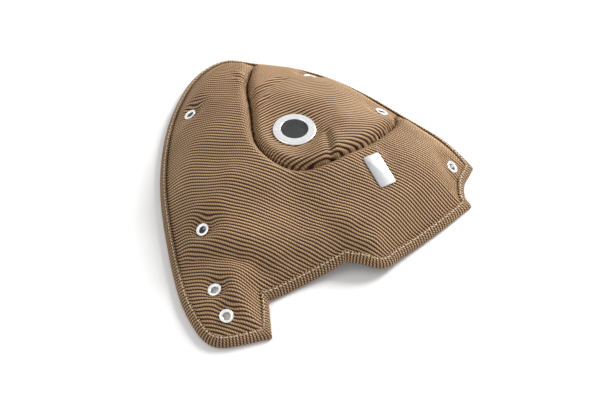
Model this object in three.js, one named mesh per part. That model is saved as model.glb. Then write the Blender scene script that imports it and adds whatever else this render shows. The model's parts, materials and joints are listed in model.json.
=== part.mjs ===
import * as THREE from "three";

// A quilted heat blanket for a turbine housing, lying face up. All sizes are in millimetres.

// Cloth and filling
const skinThickness = 1.2;
const liningThickness = 1.0;
const padThickness = 12.0;
const pinchedMatThickness = 2.0;
const layerGap = 0.3;

// Folded strip along the rim
const stripThickness = 1.0;
const stripWidth = 7.0;
const stripClearance = 0.4;
const stripJointGap = 0.6;

// Sewn line between the two panels
const seamGap = 0.5;
const seamRowOffset = 5.0;

// How far the pad takes to swell to its full thickness beside a pinched line
const swellAtRim = 20.0;
const swellAtSeam = 13.0;
const swellAtGrommet = 15.0;

// Plan of the blanket and its dome, and how far the mouth stands off the surface it lies on
const blanketWidth = 249.0;
const blanketLength = 290.0;
const crownHeight = 43.0;
const mouthLift = 10.0;
const mouthLiftReach = 26.0;

// Notch between the two tips at the side, and how far the eyelet behind it stays clear of the strip
const notchDepth = 7.8;
const notchEyeletClearance = 1.3;

// Small lacing eyelets
const eyeletBore = 5.5;
const eyeletWall = 0.35;
const eyeletFlangeDiameter = 10.5;
const eyeletFlangeRise = 1.3;
const eyeletWasherDiameter = 9.4;
const eyeletSides = 14;

// Large port ring
const ringBore = 20.7;
const ringWall = 0.6;
const ringFlangeDiameter = 33.5;
const ringFlangeRise = 1.8;
const ringWasherDiameter = 31.5;
const ringSides = 32;

// Upper profiles of the two flanges from the bore out, in shares of the flange's width and of its rise
const eyeletProfile = [[0, 0.5], [0.12, 0.88], [0.3, 1], [0.7, 1], [0.85, 0.8], [1, 0.3]];
const ringProfile = [[0, 0.4], [0.04, 0.8], [0.12, 1], [0.72, 1], [0.76, 0.7], [0.81, 0.82], [0.93, 0.66],
  [1, 0.2]];

// Back washers and the clearances of both kinds of grommet
const washerThickness = 0.8;
const barrelClearance = 0.35;
const curlOverlap = 1.1;

// Badge plate
const badgeLength = 28.0;
const badgeWidth = 14.0;
const badgeThickness = 1.0;
const badgeCornerRadius = 2.2;
const badgeTurn = THREE.MathUtils.degToRad(-60);

// Spacing of the points that carry the cloth surface
const rimSpacing = 12.0;
const seamSpacing = 9.0;
const fillSpacing = 13.5;

// Sizes worked out from the ones above
const pinchedThickness = skinThickness + liningThickness + pinchedMatThickness + 2 * layerGap;
const innerDepth = stripWidth + stripClearance + layerGap;
const edgeInset = stripThickness + stripClearance + pinchedThickness / 2;
const restHeight = stripThickness + stripClearance;
const notchEyeletInset = (2 / 3) * notchDepth + edgeInset + innerDepth + eyeletFlangeDiameter / 2
  + notchEyeletClearance;

// Plane vectors
const add = (a, b, k = 1) => [a[0] + k * b[0], a[1] + k * b[1]];
const sub = (a, b) => [a[0] - b[0], a[1] - b[1]];
const dot = (a, b) => a[0] * b[0] + a[1] * b[1];
const cross = (a, b) => a[0] * b[1] - a[1] * b[0];
const distance = (a, b) => Math.hypot(a[0] - b[0], a[1] - b[1]);
const leftOf = (t) => [-t[1], t[0]];
const polar = (centre, radius, angle) => add(centre, [Math.cos(angle), Math.sin(angle)], radius);

// A place on the plan, in shares of half the width and half the length from its middle
const onPlan = (across, along) => [(across * blanketWidth) / 2, (along * blanketLength) / 2];

// A place beside the line from a to b: so far along it, and so far to the left of it
function beside(a, b, share, inset) {
  const run = sub(b, a);
  return add(add(a, run, share), leftOf(run), inset / Math.hypot(...run));
}

// Corners of the rim, seen from above
const rearSeamEnd = onPlan(-0.41, 0.966);
const tabOuterCorner = onPlan(-0.25, -0.953);
const tabInnerCorner = onPlan(-0.281, -0.724);
const mouthCorner = onPlan(0.157, -0.524);
const frontTip = onPlan(0.968, -0.1);
const sideTip = onPlan(1, 0.172);
const sideSeamEnd = onPlan(0.562, 0.552);

// Each edge runs from one corner to the next with the cloth on its left, and takes one folded strip
const edges = [
  {
    name: "long_edge_binding",
    points: [rearSeamEnd, onPlan(-0.602, 1), onPlan(-0.803, 0.879), onPlan(-0.956, 0.552),
      onPlan(-1, 0.124), onPlan(-0.932, -0.338), onPlan(-0.787, -0.807), onPlan(-0.618, -1), tabOuterCorner],
  },
  { name: "tab_side_binding", points: [tabOuterCorner, tabInnerCorner] },
  { name: "mouth_left_binding", points: [tabInnerCorner, onPlan(-0.064, -0.617), mouthCorner] },
  {
    name: "front_edge_binding",
    points: [mouthCorner, onPlan(0.378, -0.552), onPlan(0.518, -0.448), onPlan(0.783, -0.248), frontTip],
  },
  { name: "notch_binding", points: [frontTip, beside(frontTip, sideTip, 0.33, notchDepth), sideTip] },
  { name: "right_edge_binding", points: [sideTip, onPlan(0.823, 0.366), sideSeamEnd] },
  {
    name: "cap_rear_binding",
    points: [sideSeamEnd, onPlan(0.369, 0.69), onPlan(0.12, 0.834), onPlan(-0.161, 0.931), rearSeamEnd],
  },
];

// Line where the cap panel is sewn into the main panel, between its two ends on the rim
const seamThrough = [onPlan(-0.434, 0.759), onPlan(-0.45, 0.593), onPlan(-0.422, 0.345),
  onPlan(-0.369, 0.055), onPlan(-0.225, -0.083), onPlan(-0.048, -0.093), onPlan(0.177, 0.01),
  onPlan(0.345, 0.131), onPlan(0.482, 0.324)];

// Grommets, badge and lifted mouth, seen from above
const eyelets = [
  { name: "eyelet_1", at: onPlan(-0.787, 0.448) },
  { name: "eyelet_2", at: onPlan(-0.671, -0.366) },
  { name: "eyelet_3", at: onPlan(-0.594, -0.717) },
  { name: "eyelet_4", at: onPlan(-0.53, -0.848) },
  { name: "eyelet_5", at: onPlan(-0.056, 0.717) },
  { name: "eyelet_6", at: onPlan(0.39, 0.431) },
  { name: "eyelet_7", at: beside(frontTip, sideTip, 0.68, notchEyeletInset) },
];
const portRing = { name: "port_ring", at: onPlan(-0.145, 0.159) };
const grommets = [...eyelets, portRing];
const badgeCentre = onPlan(0.345, -0.076);
const mouthLiftCentre = onPlan(0.233, -0.538);

// Valleys and ridges of the cloth, then its sharper creases, with half width and rise in pad thicknesses
const fold = (from, to, width, rise) => (
  { from, to, width: width * padThickness, rise: rise * padThickness });
const folds = [
  fold(onPlan(-0.112, -0.234), onPlan(0.129, -0.428), 1.25, -0.58),
  fold(onPlan(0.562, -0.124), onPlan(0.675, 0.041), 2.17, 0.42),
  fold(onPlan(-0.771, -0.593), onPlan(-0.161, -0.579), 0.75, -0.42),
  fold(onPlan(-0.514, -0.772), onPlan(-0.402, -0.772), 1.67, 0.33),
];
const creases = [
  fold(onPlan(0.064, 0.117), onPlan(0.088, -0.034), 0.42, -0.25),
  fold(onPlan(-0.394, 0.414), onPlan(-0.209, 0.579), 0.33, 0.17),
];

function distanceToLine(p, a, b) {
  const ab = sub(b, a);
  const along = THREE.MathUtils.clamp(dot(sub(p, a), ab) / dot(ab, ab), 0, 1);
  return distance(p, add(a, ab, along));
}

// Evenly spaced points and unit tangents along a smooth curve through the given points
function sampleCurve(points, spacing) {
  const curve = new THREE.CatmullRomCurve3(points.map(([x, y]) => new THREE.Vector3(x, y, 0)));
  const steps = Math.max(3, Math.round(curve.getLength() / spacing));
  const samples = [];
  for (let i = 0; i <= steps; i++) {
    const at = curve.getPointAt(i / steps);
    const tangent = curve.getTangentAt(i / steps);
    samples.push({ at: [at.x, at.y], tangent: [tangent.x, tangent.y] });
  }
  return { samples, length: curve.getLength() };
}

// The rim: one station per sample, with the direction in which the cloth lies from it.
// Near a corner that direction leans so that the two edges meet along the corner's bisector.
function makeRim() {
  const sampled = edges.map((edge) => sampleCurve(edge.points, rimSpacing));
  const lean = sampled.map((edge, i) => {
    const before = sampled[(i + sampled.length - 1) % sampled.length].samples.at(-1).tangent;
    const after = edge.samples[0].tangent;
    return Math.tan(Math.atan2(cross(before, after), dot(before, after)) / 2);
  });
  const stations = [];
  const strips = [];
  sampled.forEach((edge, e) => {
    const first = stations.length;
    const leanStart = lean[e];
    const leanEnd = lean[(e + 1) % lean.length];
    const reach = (k) => 2.2 * Math.abs(k) * innerDepth + 1;
    edge.samples.slice(0, -1).forEach(({ at, tangent }, i) => {
      const fromStart = (i / (edge.samples.length - 1)) * edge.length;
      const fromEnd = edge.length - fromStart;
      const along = leanStart * Math.max(0, 1 - fromStart / reach(leanStart))
        - leanEnd * Math.max(0, 1 - fromEnd / reach(leanEnd));
      const inward = add(leftOf(tangent), tangent, along);
      stations.push({ at: add(at, inward, edgeInset), inward });
    });
    strips.push({ name: edges[e].name, first, count: edge.samples.length });
  });
  return { stations, strips };
}

// Points of the cloth surface
const points = [];

function addPoint(at, extra = {}) {
  points.push({ at, ...extra });
  return points.length - 1;
}

const rim = makeRim();
rim.stations.forEach((s) => addPoint(s.at, { onRim: true, depth: 0 }));
const stationCount = rim.stations.length;
rim.stations.forEach((s) => addPoint(add(s.at, s.inward, innerDepth), { depth: innerDepth }));
const stationOf = (name) => rim.strips.find((strip) => strip.name === name).first;
const innerLoop = rim.stations.map((_, i) => stationCount + i);

// The seam runs from the cap's two corners on the rim, with a row of points on each side of it
const seamStart = stationOf("long_edge_binding");
const seamFinish = stationOf("cap_rear_binding");
const seamCurve = sampleCurve([points[stationCount + seamStart].at, ...seamThrough,
  points[stationCount + seamFinish].at], seamSpacing);
const seamLine = [seamStart, stationCount + seamStart];
seamCurve.samples.slice(1, -1).forEach(({ at }) => seamLine.push(addPoint(at)));
seamLine.push(stationCount + seamFinish, seamFinish);
seamLine.forEach((index, i) => {
  const before = points[seamLine[Math.max(0, i - 1)]].at;
  const after = points[seamLine[Math.min(seamLine.length - 1, i + 1)]].at;
  const run = sub(after, before);
  points[index].seamSide = leftOf([run[0] / Math.hypot(...run), run[1] / Math.hypot(...run)]);
});

function seamDistance(p) {
  let least = Infinity;
  for (let i = 0; i + 1 < seamLine.length; i++) {
    least = Math.min(least, distanceToLine(p, points[seamLine[i]].at, points[seamLine[i + 1]].at));
  }
  return least;
}

function rimDistance(p) {
  let least = Infinity;
  for (let i = 0; i < stationCount; i++) {
    least = Math.min(least, distanceToLine(p, rim.stations[i].at, rim.stations[(i + 1) % stationCount].at));
  }
  return least;
}

function insideLoop(p, loop) {
  let inside = false;
  loop.forEach((index, i) => {
    const a = points[index].at;
    const b = points[loop[(i + 1) % loop.length]].at;
    const crosses = (a[1] > p[1]) !== (b[1] > p[1]);
    if (crosses && p[0] < a[0] + ((b[0] - a[0]) * (p[1] - a[1])) / (b[1] - a[1])) inside = !inside;
  });
  return inside;
}

// A point of the filling is kept only where it is clear of the rows and rings already there
const roomFor = (p, room) => points.every((q) => distance(p, q.at) > room);

// Rings of points round each grommet: its hole, the edge of its flange and the swell outside it
function addGrommetPoints(grommet, bore, wall, flangeDiameter, holeSides) {
  const holeRadius = (bore / 2 + wall + barrelClearance) / Math.cos(Math.PI / holeSides);
  const flangeRadius = flangeDiameter / 2 + layerGap;
  const seatRadius = flangeRadius / Math.cos(Math.PI / holeSides);
  const turn = Math.PI / holeSides;
  grommet.flangeRadius = flangeRadius;
  grommet.centre = addPoint(grommet.at, { pressedBy: grommet, inHole: true });
  for (let i = 0; i < holeSides; i++) {
    addPoint(polar(grommet.at, holeRadius, 2 * turn * i), { pressedBy: grommet });
    addPoint(polar(grommet.at, seatRadius, 2 * turn * (i + 0.5)), { pressedBy: grommet });
  }
  const outer = seatRadius + swellAtGrommet / 2;
  for (let i = 0; i < holeSides; i++) {
    const p = polar(grommet.at, outer, 2 * turn * i);
    if (insideLoop(p, innerLoop) && roomFor(p, swellAtGrommet / 3)) addPoint(p);
  }
}

eyelets.forEach((eyelet) => addGrommetPoints(eyelet, eyeletBore, eyeletWall, eyeletFlangeDiameter, 8));
addGrommetPoints(portRing, ringBore, ringWall, ringFlangeDiameter, 20);

// Flat seat of the badge
const badgeSeat = { at: badgeCentre, flangeRadius: 0 };
badgeSeat.centre = addPoint(badgeCentre, { pressedBy: badgeSeat });
const badgeAlong = [Math.cos(badgeTurn), Math.sin(badgeTurn)];
for (const u of [-1, 0, 1]) {
  for (const v of [-1, 1]) {
    const p = add(badgeCentre, badgeAlong, u * (badgeLength / 2 + layerGap));
    addPoint(add(p, leftOf(badgeAlong), v * (badgeWidth / 2 + layerGap)), { pressedBy: badgeSeat });
  }
}

// Rows beside the seam, points along the sharp creases, then an even filling
for (let i = 1; i + 2 < seamLine.length; i++) {
  const a = points[seamLine[i]].at;
  const b = points[seamLine[i + 1]].at;
  for (const side of [-1, 1]) {
    const p = beside(a, b, 0.5, side * seamRowOffset);
    if (insideLoop(p, innerLoop) && roomFor(p, seamRowOffset * 0.8)) addPoint(p);
  }
}
for (const crease of creases) {
  const steps = Math.round(distance(crease.from, crease.to) / (fillSpacing / 2));
  for (let i = 0; i <= steps; i++) {
    for (const side of [0, -1, 1]) {
      const p = beside(crease.from, crease.to, (i + side / 4) / steps, side * crease.width);
      if (roomFor(p, fillSpacing / 3)) addPoint(p);
    }
  }
}
const rowStep = fillSpacing * Math.sin(Math.PI / 3);
const reach = Math.max(...points.map((p) => Math.max(Math.abs(p.at[0]), Math.abs(p.at[1]))));
const rows = Math.ceil(reach / rowStep);
for (let row = -rows; row <= rows; row++) {
  for (let column = -rows; column <= rows; column++) {
    const p = [(column + (row & 1) / 2) * fillSpacing, row * rowStep];
    if (insideLoop(p, innerLoop) && roomFor(p, fillSpacing * 0.62)) addPoint(p);
  }
}

// Joins the points into triangles in which no triangle's circle holds another point
function triangulate(indices) {
  const far = 1000 * reach;
  const corners = [[-far, -far], [far, -far], [0, far]];
  const at = (i) => (i < 0 ? corners[-1 - i] : points[i].at);
  const make = (a, b, c) => {
    const [p, q, r] = [at(a), at(b), at(c)];
    const pq = sub(q, p);
    const pr = sub(r, p);
    const twice = 2 * cross(pq, pr);
    const x = (pr[1] * dot(pq, pq) - pq[1] * dot(pr, pr)) / twice;
    const y = (pq[0] * dot(pr, pr) - pr[0] * dot(pq, pq)) / twice;
    return { corners: [a, b, c], centre: [p[0] + x, p[1] + y], radius: Math.hypot(x, y) };
  };
  let triangles = [make(-1, -2, -3)];
  for (const index of indices) {
    const open = new Map();
    triangles = triangles.filter((t) => {
      if (distance(t.centre, points[index].at) > t.radius * (1 - 1e-9)) return true;
      t.corners.forEach((a, i) => {
        const b = t.corners[(i + 1) % 3];
        if (!open.delete(`${b},${a}`)) open.set(`${a},${b}`, [a, b]);
      });
      return false;
    });
    for (const [a, b] of open.values()) triangles.push(make(a, b, index));
  }
  return triangles.map((t) => t.corners).filter((t) => t.every((i) => i >= 0));
}

// Makes the edge from a to b part of the net, by turning the diagonals that cross it
function keepEdge(net, a, b) {
  const turn = (i, j, k) => cross(sub(points[j].at, points[i].at), sub(points[k].at, points[i].at));
  const allStarts = () => net.flatMap(([i, j, k], n) => [[i, j, k, n], [j, k, i, n], [k, i, j, n]]);
  const isCrossed = ([i, p, q]) => i === a && turn(a, b, p) < 0 && turn(a, b, q) > 0;
  for (let near = allStarts().find(isCrossed); near; near = allStarts().find(isCrossed)) {
    const [, p, q, first] = near;
    const [, , r, second] = allStarts().find(([i, j]) => i === q && j === p);
    if (turn(a, p, r) <= 0 || turn(a, r, q) <= 0) return;
    net[first] = [a, p, r];
    net[second] = [a, r, q];
  }
}

const centroid = (t) => t.map((i) => points[i].at).reduce((sum, at) => add(sum, at, 1 / t.length), [0, 0]);

const inner = points.map((_, i) => i).slice(stationCount);
const net = triangulate(inner);
innerLoop.forEach((index, i) => keepEdge(net, index, innerLoop[(i + 1) % stationCount]));
seamLine.slice(1, -2).forEach((index, i) => keepEdge(net, index, seamLine[i + 2]));
const triangles = net.filter((t) => insideLoop(centroid(t), innerLoop));
for (let i = 0; i < stationCount; i++) {
  const j = (i + 1) % stationCount;
  triangles.push([i, j, stationCount + j], [i, stationCount + j, stationCount + i]);
}

// Heights of the lining's underside: a cloth swelling from the rim, solved as a loaded membrane
function relaxMembrane() {
  const links = points.map(() => new Map());
  const load = points.map(() => 0);
  for (const t of triangles) {
    const [p, q, r] = t.map((i) => points[i].at);
    const area = Math.abs(cross(sub(q, p), sub(r, p))) / 2;
    t.forEach((c, i) => {
      const [a, b] = [t[(i + 1) % 3], t[(i + 2) % 3]];
      const ca = sub(points[a].at, points[c].at);
      const cb = sub(points[b].at, points[c].at);
      const weight = dot(ca, cb) / (4 * area);
      links[a].set(b, (links[a].get(b) ?? 0) + weight);
      links[b].set(a, (links[b].get(a) ?? 0) + weight);
      load[c] += area / 3;
    });
  }
  const height = points.map(() => 0);
  for (let pass = 0; pass < 1500; pass++) {
    points.forEach((p, i) => {
      if (p.onRim) return;
      let total = load[i];
      let weights = 0;
      for (const [j, weight] of links[i]) {
        total += weight * height[j];
        weights += weight;
      }
      height[i] = total / weights;
    });
  }
  const highest = Math.max(...height);
  return height.map((h) => h / highest);
}

const swelling = relaxMembrane();
points.forEach((p, i) => {
  const away = distance(p.at, mouthLiftCentre) / mouthLiftReach;
  p.z = restHeight + crownHeight * swelling[i] + mouthLift * Math.exp(-away * away);
  const free = Math.min(1, rimDistance(p.at) / (2 * innerDepth)) ** 2;
  for (const { from, to, width, rise } of [...folds, ...creases]) {
    const off = distanceToLine(p.at, from, to) / width;
    if (p.depth === undefined) p.z += free * rise * Math.exp(-off * off);
  }
});

// Each grommet and the badge press their seat flat, on the mean plane of what lies round them
function pressFlat(seat) {
  const pressed = points.filter((p) => p.pressedBy === seat);
  const mean = (f) => pressed.reduce((sum, p) => sum + f(p), 0) / pressed.length;
  const mx = mean((p) => p.at[0]);
  const my = mean((p) => p.at[1]);
  const mz = mean((p) => p.z);
  const xx = mean((p) => (p.at[0] - mx) ** 2);
  const yy = mean((p) => (p.at[1] - my) ** 2);
  const xy = mean((p) => (p.at[0] - mx) * (p.at[1] - my));
  const xz = mean((p) => (p.at[0] - mx) * (p.z - mz));
  const yz = mean((p) => (p.at[1] - my) * (p.z - mz));
  const slopeX = (xz * yy - yz * xy) / (xx * yy - xy * xy);
  const slopeY = (yz * xx - xz * xy) / (xx * yy - xy * xy);
  for (const p of pressed) p.z = mz + slopeX * (p.at[0] - mx) + slopeY * (p.at[1] - my);
  seat.normal = new THREE.Vector3(-slopeX, -slopeY, 1).normalize();
}
[...grommets, badgeSeat].forEach(pressFlat);

// Upward direction of the surface at each point
points.forEach((p) => (p.normal = new THREE.Vector3()));
const place = (p) => new THREE.Vector3(p.at[0], p.at[1], p.z);
for (const t of triangles) {
  const [a, b, c] = t.map((i) => place(points[i]));
  const normal = b.sub(a).cross(c.sub(a));
  t.forEach((i) => points[i].normal.add(normal));
}
points.forEach((p) => p.normal.normalize());
points.filter((p) => p.pressedBy).forEach((p) => p.normal.copy(p.pressedBy.normal));

// Thickness of the quilted pad: full away from the rim, the seam and the grommets, pinched at them
const swell = (off, width) => Math.sin((Math.PI / 2) * THREE.MathUtils.clamp(off / width, 0, 1));
const rollOver = (off, width) => Math.sqrt(1 - (1 - THREE.MathUtils.clamp(off / width, 0, 1)) ** 2);
for (const p of points) {
  let share = p.depth === undefined ? swell(rimDistance(p.at) - innerDepth, swellAtRim) : 0;
  share *= p.seamSide ? 0 : rollOver(seamDistance(p.at), swellAtSeam);
  for (const g of grommets) share *= swell(distance(p.at, g.at) - g.flangeRadius, swellAtGrommet);
  if (p.pressedBy && p.pressedBy !== badgeSeat) share = 0;
  if (p.pressedBy === badgeSeat) share = 1;
  p.thickness = pinchedThickness + (padThickness - pinchedThickness) * share;
}

// Closed solid between two offsets from the surface, over one panel's triangles
function layerGeometry(panel, side, low, high) {
  const used = [...new Set(panel.flat())];
  const slot = new Map(used.map((index, i) => [index, i]));
  const positions = [];
  for (const offset of [low, high]) {
    for (const index of used) {
      const p = points[index];
      const at = place(p).addScaledVector(p.normal, offset(p));
      if (p.seamSide) at.add(new THREE.Vector3(...p.seamSide, 0).multiplyScalar((side * seamGap) / 2));
      positions.push(at.x, at.y, at.z);
    }
  }
  const top = used.length;
  const faces = [];
  const border = new Map();
  for (const [a, b, c] of panel) {
    faces.push(slot.get(a) + top, slot.get(b) + top, slot.get(c) + top);
    faces.push(slot.get(a), slot.get(c), slot.get(b));
    for (const [i, j] of [[a, b], [b, c], [c, a]]) {
      if (!border.delete(`${j},${i}`)) border.set(`${i},${j}`, [slot.get(i), slot.get(j)]);
    }
  }
  for (const [i, j] of border.values()) faces.push(i, j, j + top, i, j + top, i + top);
  const geometry = new THREE.BufferGeometry();
  geometry.setAttribute("position", new THREE.Float32BufferAttribute(positions, 3));
  geometry.setIndex(faces);
  return geometry;
}

// Which panel a triangle belongs to: the cap lies inside the loop of the seam and the rear rim
const capLoop = [...seamLine.slice(0, -1)];
for (let i = seamFinish; i !== stationCount && i !== seamStart; i++) capLoop.push(i);
const cloth = triangles.filter((t) => !t.some((i) => points[i].inHole));
const capPanel = cloth.filter((t) => insideLoop(centroid(t), capLoop));
const mainPanel = cloth.filter((t) => !insideLoop(centroid(t), capLoop));

// Folded strip over the edges of all layers, swept along one run of rim stations
function stripGeometry({ first, count }) {
  const outer = stripClearance + stripThickness;
  const top = pinchedThickness;
  const section = [
    [stripWidth, top + stripClearance],
    [-stripClearance, top + stripClearance],
    [-stripClearance, -stripClearance],
    [stripWidth, -stripClearance],
    [stripWidth, -outer],
    [-stripClearance, -outer],
    [-outer, -stripClearance],
    [-outer, top + stripClearance],
    [-stripClearance, top + outer],
    [stripWidth, top + outer],
  ];
  const positions = [];
  for (let k = 0; k < count; k++) {
    const i = (first + k) % stationCount;
    const edge = points[i];
    const inside = points[stationCount + i];
    const pull = k === 0 ? stripJointGap / 2 : k === count - 1 ? -stripJointGap / 2 : 0;
    const neighbour = points[(first + (k === 0 ? 1 : count - 2)) % stationCount];
    const run = place(neighbour).sub(place(edge)).normalize().multiplyScalar(Math.abs(pull));
    for (const [depth, height] of section) {
      const share = depth / innerDepth;
      const at = place(edge).lerp(place(inside), share);
      const normal = edge.normal.clone().lerp(inside.normal, Math.max(0, share)).normalize();
      at.addScaledVector(normal, height);
      if (pull !== 0) at.add(run);
      positions.push(at.x, at.y, at.z);
    }
  }
  const n = section.length;
  const faces = [];
  for (let k = 0; k + 1 < count; k++) {
    for (let i = 0; i < n; i++) {
      const j = (i + 1) % n;
      const [a, b, c, d] = [k * n + i, k * n + j, (k + 1) * n + j, (k + 1) * n + i];
      if (section[j][0] < section[i][0]) faces.push(a, d, b, b, d, c);
      else faces.push(a, c, b, a, d, c);
    }
  }
  const caps = [[0, 1, 8], [0, 8, 9], [1, 7, 8], [1, 2, 7], [2, 6, 7], [2, 5, 6], [2, 3, 5], [3, 4, 5]];
  for (const [a, b, c] of caps) {
    faces.push(a, b, c);
    const last = (count - 1) * n;
    faces.push(last + a, last + c, last + b);
  }
  const geometry = new THREE.BufferGeometry();
  geometry.setAttribute("position", new THREE.Float32BufferAttribute(positions, 3));
  geometry.setIndex(faces);
  return geometry;
}

// Flanged barrel that clamps all layers, its lower end curled over a back washer
function grommetGeometry(bore, wall, flangeDiameter, rise, flangeProfile, sides) {
  const inside = bore / 2;
  const barrel = inside + wall;
  const flange = flangeDiameter / 2;
  const seat = pinchedThickness + layerGap;
  const curl = -2 * layerGap - washerThickness;
  const profile = [
    [inside, curl],
    ...flangeProfile.map(([out, up]) => [inside + out * (flange - inside), seat + up * rise]),
    [flange, seat],
    [barrel, seat],
    [barrel, curl],
    [barrel + curlOverlap, curl],
    [barrel, curl - wall],
  ];
  const loop = [...profile, profile[0]].map(([r, h]) => new THREE.Vector2(r, h));
  return new THREE.LatheGeometry(loop.reverse(), sides).rotateX(Math.PI / 2);
}

function washerGeometry(bore, wall, diameter, sides) {
  const hole = bore / 2 + wall + barrelClearance;
  const edge = diameter / 2;
  const high = -layerGap;
  const low = high - washerThickness;
  const loop = [[hole, low], [edge, low], [edge, high], [hole, high], [hole, low]];
  return new THREE.LatheGeometry(loop.map(([r, h]) => new THREE.Vector2(r, h)), sides).rotateX(Math.PI / 2);
}

function badgeGeometry() {
  const x = badgeLength / 2 - badgeCornerRadius;
  const y = badgeWidth / 2 - badgeCornerRadius;
  const shape = new THREE.Shape();
  shape.absarc(x, y, badgeCornerRadius, 0, Math.PI / 2);
  shape.absarc(-x, y, badgeCornerRadius, Math.PI / 2, Math.PI);
  shape.absarc(-x, -y, badgeCornerRadius, Math.PI, 1.5 * Math.PI);
  shape.absarc(x, -y, badgeCornerRadius, 1.5 * Math.PI, 2 * Math.PI);
  return new THREE.ExtrudeGeometry(shape, { depth: badgeThickness, bevelEnabled: false, curveSegments: 4 });
}

// Materials
const weave = new THREE.MeshStandardMaterial({ color: 0x8f7357, roughness: 0.85, metalness: 0 });
const felt = new THREE.MeshStandardMaterial({ color: 0xd9d2c4, roughness: 1, metalness: 0 });
const lining = new THREE.MeshStandardMaterial({ color: 0x9c948a, roughness: 0.9, metalness: 0 });
const plated = new THREE.MeshStandardMaterial({ color: 0xc9cbcc, roughness: 0.25, metalness: 1 });
const satin = new THREE.MeshStandardMaterial({ color: 0xb9bbbd, roughness: 0.4, metalness: 1 });

// Assembly
const blanket = new THREE.Group();

function addMesh(name, geometry, material, parent = blanket) {
  const mesh = new THREE.Mesh(geometry, material);
  mesh.name = name;
  parent.add(mesh);
  return mesh;
}

function addPanel(name, panel, side) {
  const skinLow = (p) => p.thickness - skinThickness;
  addMesh(`${name}_skin`, layerGeometry(panel, side, skinLow, (p) => p.thickness), weave);
  const matLow = () => liningThickness + layerGap;
  addMesh(`${name}_mat`, layerGeometry(panel, side, matLow, (p) => skinLow(p) - layerGap), felt);
  addMesh(`${name}_lining`, layerGeometry(panel, side, () => 0, () => liningThickness), lining);
}
addPanel("main", mainPanel, -1);
addPanel("cap", capPanel, 1);

for (const strip of rim.strips) addMesh(strip.name, stripGeometry(strip), weave);

function seatedGroup(seat, turn = 0) {
  const group = new THREE.Group();
  const centre = points[seat.centre];
  group.position.copy(place(centre));
  group.quaternion.setFromUnitVectors(new THREE.Vector3(0, 0, 1), seat.normal);
  group.quaternion.multiply(new THREE.Quaternion().setFromAxisAngle(new THREE.Vector3(0, 0, 1), turn));
  blanket.add(group);
  return group;
}

function addGrommet(grommet, front, back) {
  const group = seatedGroup(grommet);
  addMesh(grommet.name, front, plated, group);
  addMesh(`${grommet.name}_washer`, back, plated, group);
}
for (const eyelet of eyelets) {
  addGrommet(eyelet,
    grommetGeometry(eyeletBore, eyeletWall, eyeletFlangeDiameter, eyeletFlangeRise, eyeletProfile,
      eyeletSides),
    washerGeometry(eyeletBore, eyeletWall, eyeletWasherDiameter, eyeletSides));
}
addGrommet(portRing,
  grommetGeometry(ringBore, ringWall, ringFlangeDiameter, ringFlangeRise, ringProfile, ringSides),
  washerGeometry(ringBore, ringWall, ringWasherDiameter, ringSides));

const badge = addMesh("badge_plate", badgeGeometry(), satin, seatedGroup(badgeSeat, badgeTurn));
badge.position.z = padThickness + layerGap;

// The origin is under the middle of the blanket, on the surface that it lies on
blanket.updateMatrixWorld(true);
const box = new THREE.Box3().setFromObject(blanket, true);
blanket.position.set(-(box.min.x + box.max.x) / 2, -(box.min.y + box.max.y) / 2, -box.min.z);

export default blanket;
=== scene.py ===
import json
import math

import bmesh
import bpy
import numpy as np
from mathutils import Matrix, Vector
from mathutils.bvhtree import BVHTree


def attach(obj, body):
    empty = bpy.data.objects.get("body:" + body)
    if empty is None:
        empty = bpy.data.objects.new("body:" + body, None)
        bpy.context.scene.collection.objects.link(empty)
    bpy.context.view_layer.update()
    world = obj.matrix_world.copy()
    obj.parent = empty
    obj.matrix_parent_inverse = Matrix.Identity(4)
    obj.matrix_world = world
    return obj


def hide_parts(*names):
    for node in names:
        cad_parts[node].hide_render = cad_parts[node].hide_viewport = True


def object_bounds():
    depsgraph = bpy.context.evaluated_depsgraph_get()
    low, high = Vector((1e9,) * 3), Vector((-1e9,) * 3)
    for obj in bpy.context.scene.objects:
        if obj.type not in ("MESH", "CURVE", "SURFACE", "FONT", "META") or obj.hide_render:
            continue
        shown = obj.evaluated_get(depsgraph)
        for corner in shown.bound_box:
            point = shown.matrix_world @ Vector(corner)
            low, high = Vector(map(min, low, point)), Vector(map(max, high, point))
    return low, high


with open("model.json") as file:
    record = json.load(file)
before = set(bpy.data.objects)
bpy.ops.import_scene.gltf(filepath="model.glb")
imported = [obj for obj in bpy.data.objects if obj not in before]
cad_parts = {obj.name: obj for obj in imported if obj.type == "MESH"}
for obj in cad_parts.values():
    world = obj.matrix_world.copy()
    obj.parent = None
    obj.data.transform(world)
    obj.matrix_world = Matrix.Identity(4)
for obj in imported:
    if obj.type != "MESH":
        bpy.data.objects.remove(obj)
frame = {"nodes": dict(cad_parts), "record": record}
cad_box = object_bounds()

# All sizes are in metres; MM turns a size in millimetres into one
MM = 0.001

# Filling, folded strip, and how wide the pad swells up from each thing that pinches it
PAD = 12.0 * MM
LINING_THICKNESS = 0.9 * MM
MAT_ABOVE_LINING = 1.2 * MM
MAT_BELOW_CLOTH = 2.0 * MM
CLOTH_THICKNESS = 0.7 * MM
PINCHED = 3.8 * MM
PINCHED_AT_SEAM = 1.3 * MM
STRIP_WIDTH = 5.4 * MM
STRIP_CLEARANCE = 0.4 * MM
STRIP_THICKNESS = 1.0 * MM
SWELL_AT_RIM = 20.0 * MM
SWELL_AT_SEAM = 8.5 * MM
SWELL_AT_EYELET = 13.0 * MM
SWELL_AT_RING = 26.0 * MM

# Ribs of the cloth
RIB_PITCH = 2.45 * MM
RIB_RISE = 0.78 * MM
ROWS_PER_RIB = 4
STEP_ALONG_RIB = 2.0 * MM
MAIN_RIB_ANGLE = math.radians(-19)
CAP_RIB_ANGLE = math.radians(25)

# Stitches
STITCH_PITCH = 3.7 * MM
STITCH_LENGTH = 3.4 * MM
THREAD = 0.75 * MM
STITCH_FROM_EDGE = 4.5 * MM

THREAD_SIDES = 6

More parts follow.
